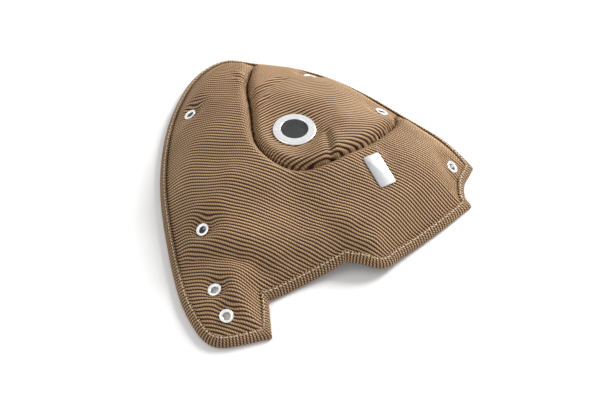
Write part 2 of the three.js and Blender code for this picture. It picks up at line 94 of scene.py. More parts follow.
# Camera, as the photograph was taken
CAMERA_DISTANCE = 1100 * MM
CAMERA_ELEVATION = math.radians(50)
CAMERA_LENS = 87.4
CAMERA_TARGET = Vector((-12.75, -22.0, 20.0)) * MM

# Strength of the white light all round
STUDIO_LIGHT = 0.50

# The rim runs so that the cloth lies on its right-hand side
INWARD = -1

# Grommets: the flange's underside and the barrel's curled end above the lining's underside
EYELET_SEAT = 5.1 * MM
EYELET_RISE = 1.3 * MM
RING_RISE = 1.8 * MM
CURL = -1.4 * MM
EYELET_BORE = 2.75 * MM
EYELET_FLANGE = 5.25 * MM
RING_BORE = 10.35 * MM
RING_FLANGE = 16.75 * MM
HOLE_INSIDE_FLANGE = 2.0 * MM
WASHER_LOW = -1.1 * MM
WASHER_HIGH = -0.3 * MM

BADGE_SIZE = (28 * MM, 14 * MM, 1.0 * MM)


# Small tools for meshes

def deselect_all():
    for other in bpy.context.selected_objects:
        other.select_set(False)


def make_piece(name, vertices, faces, material):
    mesh = bpy.data.meshes.new(name)
    mesh.from_pydata([tuple(v) for v in vertices], [], [tuple(f) for f in faces])
    mesh.validate()
    piece = bpy.data.objects.new(name, mesh)
    bpy.context.scene.collection.objects.link(piece)
    mesh.materials.append(material)
    mesh.polygons.foreach_set("use_smooth", [True] * len(mesh.polygons))
    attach(piece, "root")
    return piece


def set_uv(piece, per_vertex):
    layer = piece.data.uv_layers.new(name="weave")
    loops = np.empty(len(piece.data.loops), dtype=np.int32)
    piece.data.loops.foreach_get("vertex_index", loops)
    layer.data.foreach_set("uv", np.asarray(per_vertex, float)[loops].ravel())


def merged_node(name):
    """Corner positions and triangles of a node, with its doubles merged."""
    mesh = bmesh.new()
    mesh.from_mesh(frame["nodes"][name].data)
    bmesh.ops.remove_doubles(mesh, verts=mesh.verts, dist=0.00001)
    bmesh.ops.triangulate(mesh, faces=mesh.faces)
    mesh.verts.ensure_lookup_table()
    points = np.array([v.co[:] for v in mesh.verts])
    triangles = np.array([[v.index for v in f.verts] for f in mesh.faces])
    mesh.free()
    return points, triangles


# The lining's underside, from which everything else is measured

def underside(name):
    """The lining's triangles that face down. Those of its walls have an edge as short as it is thick."""
    points, triangles = merged_node(name)
    a, b, c = (points[triangles[:, i]] for i in range(3))
    shortest = np.min([np.linalg.norm(q - p, axis=1) for p, q in ((a, b), (b, c), (c, a))], axis=0)
    return points, triangles[(np.cross(b - a, c - a)[:, 2] < 0) & (shortest > 1.5 * MM)]


def border_loop(name):
    """The longest loop of open edges of a lining's underside, in order."""
    points, triangles = underside(name)
    follow = {}
    edges = {(int(t[i]), int(t[(i + 1) % 3])) for t in triangles for i in range(3)}
    for a, b in edges:
        if (b, a) not in edges:
            follow[a] = b
    loops = []
    while follow:
        start = next(iter(follow))
        loop = [start]
        at = follow.pop(start)
        while at != start and at in follow:
            loop.append(at)
            at = follow.pop(at)
        loops.append(loop)
    return points[max(loops, key=len)]


def smooth_line(points, step, closed=False):
    """Even points along a smooth curve through the given ones."""
    points = np.asarray(points, float)
    if closed:
        padded = np.vstack([points[-1], points, points[0], points[1]])
    else:
        padded = np.vstack([2 * points[0] - points[1], points, 2 * points[-1] - points[-2]])
    fine = []
    t = np.linspace(0, 1, 24, endpoint=False)[:, None]
    for p0, p1, p2, p3 in zip(padded[:-3], padded[1:-2], padded[2:-1], padded[3:]):
        fine.append(0.5 * (2 * p1 + (p2 - p0) * t + (2 * p0 - 5 * p1 + 4 * p2 - p3) * t ** 2
                           + (3 * p1 - p0 - 3 * p2 + p3) * t ** 3))
    fine = np.vstack(fine + [padded[-2][None, :]])
    along = np.concatenate([[0], np.cumsum(np.linalg.norm(np.diff(fine[:, :2], axis=0), axis=1))])
    count = max(2, int(round(along[-1] / step)))
    at = np.linspace(0, along[-1], count + 1)
    return np.stack([np.interp(at, along, fine[:, i]) for i in range(fine.shape[1])], axis=1)


def line_distance(x, y, line):
    """Distance of each point from a line, and on which side of it the point lies."""
    best = np.full(x.shape, np.inf)
    side = np.zeros(x.shape)
    for a, b in zip(line[:-1, :2], line[1:, :2]):
        run = b - a
        share = np.clip(((x - a[0]) * run[0] + (y - a[1]) * run[1]) / (run @ run), 0, 1)
        dx, dy = x - a[0] - share * run[0], y - a[1] - share * run[1]
        d = np.hypot(dx, dy)
        nearer = d < best
        best = np.where(nearer, d, best)
        side = np.where(nearer, np.sign(run[0] * dy - run[1] * dx), side)
    return best, side


def inside_polygon(x, y, line):
    """Which points lie inside a closed line, seen from above."""
    inside = np.zeros(x.shape, bool)
    ends = np.roll(line, -1, axis=0)
    for a, b in zip(line, ends):
        if a[1] == b[1]:
            continue
        crosses = (a[1] > y) != (b[1] > y)
        inside ^= crosses & (x < a[0] + (b[0] - a[0]) * (y - a[1]) / (b[1] - a[1]))
    return inside


class Relief:
    """Heights on an even grid, read smoothly between its points."""

    def __init__(self, low, step, heights):
        self.low = low
        self.step = step
        self.heights = heights

    def at(self, x, y):
        rows, columns = self.heights.shape
        u = np.clip((np.asarray(x) - self.low[0]) / self.step, 1, columns - 3.001)
        v = np.clip((np.asarray(y) - self.low[1]) / self.step, 1, rows - 3.001)
        i, j = np.floor(v).astype(int), np.floor(u).astype(int)
        total = 0
        for k, across in enumerate(self.weights(v - i)):
            row = 0
            for m, along in enumerate(self.weights(u - j)):
                row = row + along * self.heights[i + k - 1, j + m - 1]
            total = total + across * row
        return total

    @staticmethod
    def weights(t):
        return (-0.5 * t + t ** 2 - 0.5 * t ** 3, 1 - 2.5 * t ** 2 + 1.5 * t ** 3,
                0.5 * t + 2 * t ** 2 - 1.5 * t ** 3, -0.5 * t ** 2 + 0.5 * t ** 3)


def blurred(grid, cells):
    """A grid smoothed over this many cells."""
    reach = int(3 * cells)
    weights = np.exp(-0.5 * (np.arange(-reach, reach + 1) / cells) ** 2)
    weights /= weights.sum()
    for axis in (0, 1):
        wide = np.pad(grid, [(reach, reach) if a == axis else (0, 0) for a in (0, 1)], mode="edge")
        grid = sum(w * np.take(wide, range(k, k + grid.shape[axis]), axis) for k, w in enumerate(weights))
    return grid


def make_base_relief(step=1.5 * MM, margin=24 * MM, blur=4.2 * MM):
    """The lining's underside, carried on past the rim and across the holes, with its facets smoothed."""
    corners, triangles = [], []
    for name in ("main_lining", "cap_lining"):
        points, faces = underside(name)
        triangles.extend((faces + sum(len(c) for c in corners)).tolist())
        corners.append(points)
    corners = np.vstack(corners)
    flat = [Vector((p[0], p[1], 0)) for p in corners]
    tree = BVHTree.FromPolygons(flat, triangles)
    low, high = (np.array(v[:]) for v in cad_box)
    xs = np.arange(low[0] - margin, high[0] + margin, step)
    ys = np.arange(low[1] - margin, high[1] + margin, step)
    heights = np.zeros((len(ys), len(xs)))
    a, b, c = (corners[np.array(triangles)[:, k]] for k in range(3))
    normals = np.cross(b - a, c - a)
    for i, y in enumerate(ys):
        for j, x in enumerate(xs):
            face = tree.find_nearest(Vector((x, y, 0)))[2]
            n, p = normals[face], a[face]
            heights[i, j] = p[2] - (n[0] * (x - p[0]) + n[1] * (y - p[1])) / n[2]
    return Relief((xs[0], ys[0]), step, blurred(heights, blur / step))


base = make_base_relief()


# Rim, seam and grommets, read from the solids

main_loop = border_loop("main_lining")
cap_loop = border_loop("cap_lining")


def run_apart(loop, other, gap=1.5 * MM):
    """A loop turned round to start where it meets the other one, and how many of its points lie on it."""
    closed = np.vstack([other, other[:1]])
    near = line_distance(loop[:, 0], loop[:, 1], closed)[0] < gap
    start = next(i for i in range(len(near)) if near[i] and not near[i - 1])
    order = np.roll(np.arange(len(near)), -start)
    return loop[order], int(near[order].sum())


def split_seam():
    """The seam as one line, and each panel's rim as a line from one seam end to the other."""
    cap, shared = run_apart(cap_loop, main_loop)
    seam = cap[:shared]
    rear = np.vstack([cap[shared - 1:], cap[:1]])
    main, shared = run_apart(main_loop, cap_loop)
    return seam, rear, np.vstack([main[shared - 1:], main[:1]])


seam_points, rear_points, main_rim_points = split_seam()
seam_line = smooth_line(seam_points, 2.5 * MM)


def rim_edges(line, corners):
    """Cuts a line at its sharpest corners and smooths what lies between."""
    apart = np.linalg.norm(np.diff(line[:, :2], axis=0), axis=1) > 1.5 * MM
    line = line[np.append(apart, True)]
    run = np.diff(line[:, :2], axis=0)
    turn = np.arctan2(run[:-1, 0] * run[1:, 1] - run[:-1, 1] * run[1:, 0], (run[:-1] * run[1:]).sum(1))
    sharpest = np.argsort(-np.abs(turn))[:corners] + 1
    cuts = [0] + sorted(int(i) for i in sharpest) + [len(line) - 1]
    return [smooth_line(line[a:b + 1], 0.6 * MM) for a, b in zip(cuts[:-1], cuts[1:])]


main_edges = rim_edges(main_rim_points, 5)
rear_edges = rim_edges(rear_points, 0)
whole_rim = [np.vstack([edge[:-1:6], edge[-1:]]) for edge in main_edges + rear_edges]


def rim_distance(x, y):
    """Distance of each point from the rim."""
    best = np.full(np.shape(x), np.inf)
    for edge in whole_rim:
        best = np.minimum(best, line_distance(x, y, edge)[0])
    return best


def grommet_seats():
    """Middle, direction and flange radius of each eyelet and of the port ring."""
    seats = {}
    for mount in frame["record"]["mounts"]:
        name = mount["name"].removesuffix("_face")
        axis = Vector(mount["axis"]).normalized()
        points, _ = merged_node(name)
        middle = Vector(points.mean(0))
        reach = max((Vector(p) - middle - axis * (Vector(p) - middle).dot(axis)).length for p in points)
        depth = [axis.dot(Vector(p) - middle) for p in points]
        top = middle + axis * max(depth)
        seats[name] = {"middle": middle, "axis": axis, "radius": reach, "top": top}
    return seats


seats = grommet_seats()


def badge_frame():
    """Middle and directions of the badge's upper face, from its solid."""
    points, triangles = merged_node("badge_plate")
    a, b, c = (points[triangles[:, i]] for i in range(3))
    normal = np.cross(b - a, c - a)
    up = Vector(normal[np.argmax(normal[:, 2])]).normalized()
    middle = Vector(points.mean(0))
    rel = points - np.array(middle[:])
    long = Vector(np.linalg.svd(rel, full_matrices=False)[2][0])
    long = (long - up * long.dot(up)).normalized()
    return middle, long, up.cross(long), up


badge_seat = badge_frame()


# Shape of the cloth's upper side

def swell(off, width):
    """From 0 at a line to 1 at this width from it, levelling off there."""
    return np.sin(np.pi / 2 * np.clip(off / width, 0, 1))


def roll_over(off, width):
    """From 0 at a line to 1 at this width from it, rising steeply first, as a rolled edge does."""
    return np.sqrt(1 - (1 - np.clip(off / width, 0, 1)) ** 2)


def fold(x, y, start, end, width, rise):
    """A soft ridge or valley along a short line, fading at its ends."""
    ax, ay = start[0] * MM, start[1] * MM
    run = np.array([end[0] * MM - ax, end[1] * MM - ay])
    share = ((x - ax) * run[0] + (y - ay) * run[1]) / (run @ run)
    near = np.clip(share, 0, 1)
    off = np.hypot(x - ax - near * run[0], y - ay - near * run[1])
    return rise * MM * np.exp(-(off / (width * MM)) ** 2)


def wandering(x, y):
    """Slight unevenness that stuffed cloth has everywhere."""
    u, v = x / MM, y / MM
    return MM * (0.7 * np.sin(u / 9.1 + 0.7 * np.sin(v / 13)) * np.sin(v / 10.7 + 1.3)
                 + 0.28 * np.sin(u / 5.3 - v / 8.2 + 2 * np.sin(v / 21))
                 + 1.5 * np.sin(u / 17 - v / 29 + 1.1) * np.sin(v / 19 + 0.4 + 0.6 * np.sin(u / 31)))


def cap_wrinkles(x, y):
    return (fold(x, y, (-51, 62), (-27, 86), 1.8, 1.6) + fold(x, y, (-48, 57), (-24, 81), 1.8, -1.4)
            + fold(x, y, (-49, 46), (-38, 58), 1.7, 1.1) + fold(x, y, (-47, 42), (-36, 54), 1.6, -0.9)
            + fold(x, y, (8, 18), (11, -8), 2.6, -2.6) + fold(x, y, (13, 16), (16, -5), 3.5, 1.2)
            + fold(x, y, (-16, 106), (-1, 112), 2.2, 0.8) + fold(x, y, (-14, 99), (2, 101), 2.4, -0.8)
            + fold(x, y, (40, 64), (58, 74), 2.4, 0.9))


def main_wrinkles(x, y):
    return (fold(x, y, (-64, 101), (-58, 96), 2.2, 1.5) + fold(x, y, (-64, 90), (-58, 83), 2.2, 1.6)
            + fold(x, y, (-65, 95), (-59, 90), 2.0, -1.2)
            + fold(x, y, (36, -66), (46, -62), 3.0, 1.1) + fold(x, y, (30, -58), (48, -52), 5.0, -1.2)
            + fold(x, y, (-40, -90), (-16, -78), 5.0, -2.0) + fold(x, y, (-90, -76), (-58, -80), 6.0, -2.2)
            + fold(x, y, (-92, -66), (-50, -68), 9.0, 1.6) + fold(x, y, (-56, -84), (-34, -88), 5.0, -1.6)
            + fold(x, y, (-40, -38), (-10, -58), 9.0, -1.8) + fold(x, y, (0, -36), (22, -52), 8.0, 1.8)
            + fold(x, y, (-62, -20), (-40, -34), 9.0, 1.6) + fold(x, y, (52, 10), (66, 34), 8.0, -1.3))


def thickness(x, y, seam_off):
    """How thick the quilted pad is: full in the middle, pinched at rim, seam and grommets."""
    share = swell(rim_distance(x, y) - STRIP_WIDTH, SWELL_AT_RIM) * roll_over(seam_off, SWELL_AT_SEAM)
    for name, seat in seats.items():
        off = np.hypot(x - seat["middle"].x, y - seat["middle"].y) - seat["radius"]
        share = share * (0.15 + 0.85 * swell(off, SWELL_AT_RING if name == "port_ring" else SWELL_AT_EYELET))
    deep = (PINCHED - PINCHED_AT_SEAM) * np.clip(1 - seam_off / (6 * MM), 0, 1)
    return PINCHED + (PAD - PINCHED) * share - deep * swell(rim_distance(x, y) - STRIP_WIDTH, 8 * MM)


def top_height(x, y, wrinkles):
    """Height of the cloth between its ribs."""
    seam_off, _ = line_distance(x, y, seam_line)
    z = base.at(x, y) + thickness(x, y, seam_off) * 1.06
    calm = swell(rim_distance(x, y) - STRIP_WIDTH, 12 * MM)
    z = z + calm * (wandering(x, y) + wrinkles(x, y))
    for seat in seats.values():
        dx, dy = x - seat["middle"].x, y - seat["middle"].y
        axis, top = seat["axis"], seat["top"]
        under = 1.8 * MM if seat["radius"] > 10 * MM else 1.3 * MM
        plane = top.z - (axis.x * (x - top.x) + axis.y * (y - top.y)) / axis.z - under - RIB_RISE
        blend = 1 - np.clip((np.hypot(dx, dy) - seat["radius"]) / (5 * MM), 0, 1)
        blend = blend * blend * (3 - 2 * blend)
        z = z * (1 - blend) + plane * blend
    middle, long, wide, up = badge_seat
    dx, dy = x - middle.x, y - middle.y
    beyond = [np.maximum(np.abs(dx * way.x + dy * way.y) - size / 2, 0)
              for way, size in ((long, BADGE_SIZE[0]), (wide, BADGE_SIZE[1]))]
    plane = middle.z - (up.x * dx + up.y * dy) / up.z - BADGE_SIZE[2] / 2 - RIB_RISE
    blend = 1 - np.clip(np.hypot(*beyond) / (6 * MM), 0, 1)
    blend = blend * blend * (3 - 2 * blend)
    return z * (1 - blend) + plane * blend


# Ribbed cloth, with its rows of points laid along the ribs

def ribbed_sheet(name, angle, wrinkles, inside, bend, material):
    """One panel's cloth: rows follow the ribs, which keep their pitch over the domed surface."""
    low, high = (np.array(v[:]) for v in cad_box)
    reach = 0.5 * math.hypot(high[0] - low[0], high[1] - low[1]) + 5 * MM
    along = np.arange(-reach, reach, STEP_ALONG_RIB)
    across = np.arange(-reach, reach, 1.0 * MM)
    s, t = np.meshgrid(along, across)
    ca, sa = math.cos(angle), math.sin(angle)
    x, y = s * ca - t * sa, s * sa + t * ca
    z = top_height(x, y, wrinkles)
    slope = np.gradient(z, across, axis=0)
    slope = np.clip(blurred(slope, 8), -0.9, 0.9)
    arc = np.cumsum(np.sqrt(1 + slope ** 2), axis=0) * (across[1] - across[0])
    arc = arc - arc[len(across) // 2][None, :] + bend(x, y)
    step = RIB_PITCH / ROWS_PER_RIB
    first = math.ceil(arc.min() / RIB_PITCH) * ROWS_PER_RIB
    last = math.floor(arc.max() / RIB_PITCH) * ROWS_PER_RIB
    levels = np.arange(first, last) * step
    rows = np.empty((len(levels), len(along)))
    for k in range(len(along)):
        rows[:, k] = np.interp(levels, arc[:, k], across, left=np.nan, right=np.nan)
    s = np.broadcast_to(along, rows.shape)
    x, y = s * ca - rows * sa, s * sa + rows * ca
    keep = ~np.isnan(x)
    x, y = np.where(keep, x, 9.0), np.where(keep, y, 9.0)
    keep &= inside(x, y)
    x, y, bored = cleared_of_bores(x, y)
    return place_rows(name, x, y, s, levels, cells_of(keep) & ~cells_of(bored), wrinkles, material)


def cells_of(points):
    """Which cells of a net have all four corners marked."""
    return points[:-1, :-1] & points[1:, :-1] & points[:-1, 1:] & points[1:, 1:]


def cleared_of_bores(x, y):
    """Points that lie in a grommet's hole are moved out to its edge, and marked."""
    bored = np.zeros(x.shape, bool)
    for seat in seats.values():
        dx, dy = x - seat["middle"].x, y - seat["middle"].y
        off = np.maximum(np.hypot(dx, dy), 0.01 * MM)
        hole = seat["radius"] - HOLE_INSIDE_FLANGE
        inside = off < hole
        x = np.where(inside, seat["middle"].x + dx / off * hole, x)
        y = np.where(inside, seat["middle"].y + dy / off * hole, y)
        bored |= inside
    return x, y, bored


def place_rows(name, x, y, s, levels, cells, wrinkles, material):
    """Lifts the rows onto the pad, raises the ribs and joins them into one cloth."""
    used = np.zeros(x.shape, bool)
    for di in (0, 1):
        for dj in (0, 1):
            used[di:used.shape[0] - 1 + di, dj:used.shape[1] - 1 + dj] |= cells
    number = np.full(x.shape, -1)
    number[used] = np.arange(used.sum())
    px, py = x[used], y[used]
    phase = np.broadcast_to((np.arange(len(levels)) % ROWS_PER_RIB / ROWS_PER_RIB)[:, None], x.shape)[used]
    across = np.broadcast_to(levels[:, None], x.shape)[used]
    along = s[used]
    px, py = drawn_to_seam(px, py)
    z = top_height(px, py, wrinkles)
    e = 0.5 * MM
    nx = -(top_height(px + e, py, wrinkles) - top_height(px - e, py, wrinkles)) / (2 * e)
    ny = -(top_height(px, py + e, wrinkles) - top_height(px, py - e, wrinkles)) / (2 * e)
    length = np.sqrt(nx ** 2 + ny ** 2 + 1)
    seam_off, _ = line_distance(px, py, seam_line)
    fade = np.clip(seam_off / (3 * MM), 0.25, 1)
    rise = RIB_RISE * np.sqrt(np.abs(np.sin(np.pi * phase))) * fade
    points = np.stack([px + nx / length * rise, py + ny / length * rise, z + rise / length], axis=1)
    i, j = np.nonzero(cells)
    faces = np.stack([number[i, j], number[i, j + 1], number[i + 1, j + 1], number[i + 1, j]], axis=1)
    piece = make_piece(name, points, faces, material)
    set_uv(piece, np.stack([along, across], axis=1))
    return piece


def drawn_to_seam(x, y, grab=1.6 * MM):
    """Points close to the seam are drawn onto it, so that the cloth ends there in a clean line."""
    nearest_x, nearest_y = x.copy(), y.copy()
    best = np.full(x.shape, np.inf)
    for a, b in zip(seam_line[:-1, :2], seam_line[1:, :2]):
        run = b - a
        share = np.clip(((x - a[0]) * run[0] + (y - a[1]) * run[1]) / (run @ run), 0, 1)
        qx, qy = a[0] + share * run[0], a[1] + share * run[1]
        d = np.hypot(x - qx, y - qy)
        nearer = d < best
        best = np.where(nearer, d, best)
        nearest_x, nearest_y = np.where(nearer, qx, nearest_x), np.where(nearer, qy, nearest_y)
    pull = np.where(best < grab, 1 - 0.15 * MM / np.maximum(best, 0.15 * MM), 0)
    return x + (nearest_x - x) * pull, y + (nearest_y - y) * pull


whole_outline = np.vstack([np.vstack(main_edges)[:, :2], np.vstack(rear_edges)[:, :2]])
cap_outline = np.vstack([seam_line[:, :2], np.vstack(rear_edges)[:, :2]])


def under_strips(x, y):
    return inside_polygon(x, y, whole_outline[::3]) & (rim_distance(x, y) > 1.5 * MM)


def on_cap(x, y):
    off, _ = line_distance(x, y, seam_line)
    return under_strips(x, y) & (inside_polygon(x, y, cap_outline[::2]) | (off < 0.8 * MM))


def on_main(x, y):
    off, _ = line_distance(x, y, seam_line)
    return under_strips(x, y) & (~inside_polygon(x, y, cap_outline[::2]) | (off < 0.8 * MM))


def main_bend(x, y):
    """The main cloth's ribs swing a little steeper towards the tab."""
    return 0.05 * (x - 20 * MM) * np.clip((y + 20 * MM) / (120 * MM), -1, 1)


def cap_bend(x, y):
    """The cap's ribs fan out at the left, arch round the port ring and turn level right of the crease."""
    ring = seats["port_ring"]["middle"]
    dx, dy = x - ring.x, y - ring.y
    across = dy * math.cos(CAP_RIB_ANGLE) - dx * math.sin(CAP_RIB_ANGLE)
    arch = -0.26 * across * np.exp(-(dx ** 2 + dy ** 2) / (24 * MM) ** 2)
    turn_right = 1 / (1 + np.exp(-(x - 10 * MM) / (2.5 * MM)))
    fan = 0.006 / MM * np.minimum(x + 22 * MM, 0) ** 2
    return turn_right * (x - 10 * MM) * 0.24 + fan + arch


# Shader maths written as plain arithmetic

class Level:
    """A shader socket that can be added, multiplied and so on."""

    def __init__(self, finish, socket):
        self.finish = finish
        self.socket = socket

    def maths(self, operation, *values):
        node = self.finish.node("ShaderNodeMath", {"operation": operation}, dict(enumerate(values)))
        return Level(self.finish, node.outputs[0])

    def __add__(self, other):
        return self.maths("ADD", self, other)

    __radd__ = __add__

    def __sub__(self, other):
        return self.maths("SUBTRACT", self, other)

    def __rsub__(self, other):
        return self.maths("SUBTRACT", other, self)

    def __mul__(self, other):
        return self.maths("MULTIPLY", self, other)

    __rmul__ = __mul__

    def __truediv__(self, other):
        return self.maths("DIVIDE", self, other)

    def __pow__(self, other):
        return self.maths("POWER", self, other)

    def sine(self):
        return self.maths("SINE", self)

    def fraction(self):
        return self.maths("FRACT", self)

    def whole(self):
        return self.maths("FLOOR", self)

    def clamped(self):
        return self.maths("MINIMUM", self.maths("MAXIMUM", self, 0.0), 1.0)


class Tree:
    """A node tree that is built node by node."""

    def __init__(self, tree):
        self.tree = tree

    def node(self, kind, settings, inputs):
        node = self.tree.nodes.new(kind)
        for key, value in settings.items():
            setattr(node, key, value)
        for key, value in inputs.items():
            if isinstance(value, Level):
                self.tree.links.new(value.socket, node.inputs[key])
            elif value is not None:
                node.inputs[key].default_value = value
        return node

    def level(self, node, output=0):
        return Level(self, node.outputs[output])


class Finish(Tree):
    """A material on one shader, whose settings that are the same all over are set on its sockets."""

    def __init__(self, name, **settings):
        self.material = bpy.data.materials.new(name)
        self.material.use_nodes = True
        super().__init__(self.material.node_tree)
        self.surface = self.tree.nodes["Principled BSDF"]
        for socket, value in settings.items():
            self.surface.inputs[socket.replace("_", " ").title()].default_value = value

    def mix(self, share, first, second):
        node = self.node("ShaderNodeMix", {"data_type": "RGBA"}, {0: share, 6: first, 7: second})
        return self.level(node, 2)

    def noise(self, scale, detail=2.0, where=None):
        inputs = {"Scale": scale, "Detail": detail}
        if where is not None:
            inputs["Vector"] = where
        return self.level(self.node("ShaderNodeTexNoise", {}, inputs))

    def weave_place(self):
        """The cloth's own coordinates: along the rib and across the ribs, in metres."""
        uv = self.node("ShaderNodeUVMap", {"uv_map": "weave"}, {})
        split = self.node("ShaderNodeSeparateXYZ", {}, {0: self.level(uv)})
        return self.level(split, 0), self.level(split, 1), self.level(uv)

    def object_place(self):
        return self.level(self.node("ShaderNodeTexCoord", {}, {}), 3)

    def bump(self, height, distance, strength=1.0):
        return self.level(self.node("ShaderNodeBump", {}, {"Height": height, "Distance": distance,
                                                          "Strength": strength}))

    def set(self, socket, value):
        self.tree.links.new(value.socket, self.surface.inputs[socket])


# Pale yarn colour, used mostly as a painted highlight along the rib crowns
RIB_PALE_YARN_AND_HIGHLIGHT = (0.84, 0.53, 0.285, 1)
RIB_TAN = (0.30, 0.171, 0.080, 1)
# Painted shade, near black, for the gaps between the ribs
RIB_GAP_SHADE = (0.028, 0.013, 0.006, 1)
LINING_DARK = (0.16, 0.145, 0.13, 1)
LINING_LIGHT = (0.44, 0.41, 0.37, 1)


# strand_shade: how strongly painted shade darkens the cloth between its twisted strands
def ribbed_cloth(name, twist=1.9 * MM, strand_shade=0.38):
    """Woven cloth of twisted yarn in ribs: tan on the ribs with a painted highlight along their crowns, and
    painted shade, near black, between the ribs and darker between the twisted strands.
    """
    finish = Finish(name, roughness=0.62, metallic=0.0)
    finish.surface.inputs["Specular IOR Level"].default_value = 0.35
    along, across, place = finish.weave_place()
    ribs = across / RIB_PITCH
    crown = (ribs.fraction() * math.pi).sine()
    rib_number = ribs.whole()
    shift = (rib_number * 12.9898).sine() * 43.7
    strand = ((along / twist + ribs.fraction() * 1.3 + shift.fraction()) * (2 * math.pi)).sine() * 0.5 + 0.5
    fibres = finish.noise(2600.0, 2.0, place)
    cloudy = finish.noise(26.0, 3.0, finish.object_place())
    # shade is painted shade: near black in the gaps between ribs where the crown is low, and darker between
    # the twisted strands
    shade = ((crown - 0.36) * 2.0).clamped() * ((1 - strand_shade) + strand * strand_shade)
    # crown and strand paint a highlight on the rib tops and strand crests; cloudy and fibres are the yarn's
    # own uneven tone
    paler = crown * 0.75 + cloudy * 0.7 + strand * 0.45 + fibres * 0.4 - 1.0
    yarn = finish.mix(paler.clamped(), RIB_TAN, RIB_PALE_YARN_AND_HIGHLIGHT)
    finish.set("Base Color", finish.mix(shade.clamped(), RIB_GAP_SHADE, yarn))
    finish.set("Roughness", 0.72 - strand * 0.12)
    relief = crown ** 0.6 + strand * 0.35 + fibres * 0.25
    finish.set("Normal", finish.bump(relief, 0.35 * MM, 0.9))
    return finish.material


def plain_lining(name):
    """Plain woven grey lining cloth."""
    finish = Finish(name, roughness=0.9, metallic=0.0)
    along, across, place = finish.weave_place()
    warp = (along * (2 * math.pi / (1.1 * MM))).sine()
    weft = (across * (2 * math.pi / (1.1 * MM))).sine()
    cells = (warp * weft) * 0.5 + 0.5
    cloudy = finish.noise(30.0, 3.0, place)
    paler = (cells * 0.6 + cloudy * 0.4).clamped()
    finish.set("Base Color", finish.mix(paler, LINING_DARK, LINING_LIGHT))
    finish.set("Normal", finish.bump(cells + cloudy * 0.3, 0.3 * MM, 0.8))
    return finish.material


def needled_mat(name):
    """White needled glass mat."""
    finish = Finish(name, roughness=1.0, metallic=0.0)
    fluff = finish.noise(900.0, 6.0, finish.object_place())
    finish.set("Base Color", finish.mix(fluff, (0.58, 0.54, 0.47, 1), (0.86, 0.83, 0.77, 1)))
    finish.set("Normal", finish.bump(fluff, 0.5 * MM, 0.7))
    return finish.material


def cream_thread(name):
    """Twisted sewing thread."""
    finish = Finish(name, roughness=0.6, metallic=0.0)
    along, across, place = finish.weave_place()
    strand = ((along / (0.9 * MM) + across) * (2 * math.pi)).sine() * 0.5 + 0.5
    finish.set("Base Color", finish.mix(strand, (0.50, 0.40, 0.26, 1), (0.86, 0.76, 0.58, 1)))
    finish.set("Normal", finish.bump(strand, 0.15 * MM, 0.7))
    return finish.material


def plated_metal(name):
    """Bright nickel plating with faint haze and handling marks."""
    finish = Finish(name, metallic=1.0)
    place = finish.object_place()
    haze = finish.noise(420.0, 4.0, place)
    marks = finish.noise(2300.0, 2.0, place)
    finish.set("Base Color", finish.mix(haze, (0.70, 0.71, 0.72, 1), (0.88, 0.89, 0.90, 1)))
    finish.set("Roughness", 0.12 + haze * 0.12 + marks * 0.04)
    finish.set("Normal", finish.bump(marks, 0.01 * MM, 0.12))
    return finish.material


def satin_plate(name, turn):
    """Satin steel with fine lines along the plate."""
    finish = Finish(name, metallic=1.0)
    along_plate = {"Vector": finish.object_place(), "Rotation": (0, 0, -turn), "Scale": (60.0, 2600.0, 400.0)}
    mapping = finish.node("ShaderNodeMapping", {}, along_plate)
    lines = finish.noise(1.0, 3.0, finish.level(mapping))
    cloudy = finish.noise(160.0, 3.0, finish.object_place())
    finish.set("Base Color", finish.mix(cloudy, (0.27, 0.27, 0.275, 1), (0.34, 0.34, 0.345, 1)))
    finish.set("Roughness", 0.36 + lines * 0.14 + cloudy * 0.06)
    finish.set("Normal", finish.bump(lines, 0.02 * MM, 0.35))
    return finish.material


cloth = ribbed_cloth("tan_ribbed_cloth")
# The strip's cloth gets deeper painted shade between its strands
strip_cloth = ribbed_cloth("tan_strip_cloth", twist=1.8 * MM, strand_shade=0.72)
lining_cloth = plain_lining("grey_lining_cloth")
thread = cream_thread("cream_thread")
nickel = plated_metal("bright_plating")
felt = needled_mat("needled_mat_white")


# Panels

def solidified(piece, wall):
    """Gives a cloth its thickness, inwards from its upper side."""
    deselect_all()
    bpy.context.view_layer.objects.active = piece
    piece.select_set(True)
    modifier = piece.modifiers.new("wall", "SOLIDIFY")
    modifier.thickness = wall
    modifier.offset = -1
    bpy.ops.object.modifier_apply(modifier=modifier.name)
    piece.select_set(False)


main_cloth = ribbed_sheet("main_panel_cloth", MAIN_RIB_ANGLE, main_wrinkles, on_main, main_bend, cloth)
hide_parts("main_skin")
cap_cloth = ribbed_sheet("cap_panel_cloth", CAP_RIB_ANGLE, cap_wrinkles, on_cap, cap_bend, cloth)
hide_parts("cap_skin")
for panel in (main_cloth, cap_cloth):
    solidified(panel, CLOTH_THICKNESS)


# Folded strips along the rim

def strip_node_of(edge):
    """The strip solid that lies along this stretch of the rim."""
    def stray(node):
        points, _ = merged_node(node)
        return float(line_distance(points[:, 0], points[:, 1], edge[::8])[0].mean())

    return min((node for node in frame["nodes"] if node.endswith("_binding")), key=stray)


def strip_surface(edge, lean_start, lean_end):
    """Points under the strip: for each station its edge point and the direction into the cloth."""
    run = np.gradient(edge[:, :2], axis=0)
    run /= np.linalg.norm(run, axis=1)[:, None]
    along = np.arange(len(edge)) * 0.6 * MM
    total = along[-1]
    reach = 2.2 * (STRIP_WIDTH + 2 * MM)
    lean = lean_start * np.clip(1 - along / max(reach * abs(lean_start), MM), 0, 1)
    lean = lean - lean_end * np.clip(1 - (total - along) / max(reach * abs(lean_end), MM), 0, 1)
    inward = np.stack([-run[:, 1], run[:, 0]], axis=1) * INWARD + run * lean[:, None]
    return edge[:, :2], inward, along


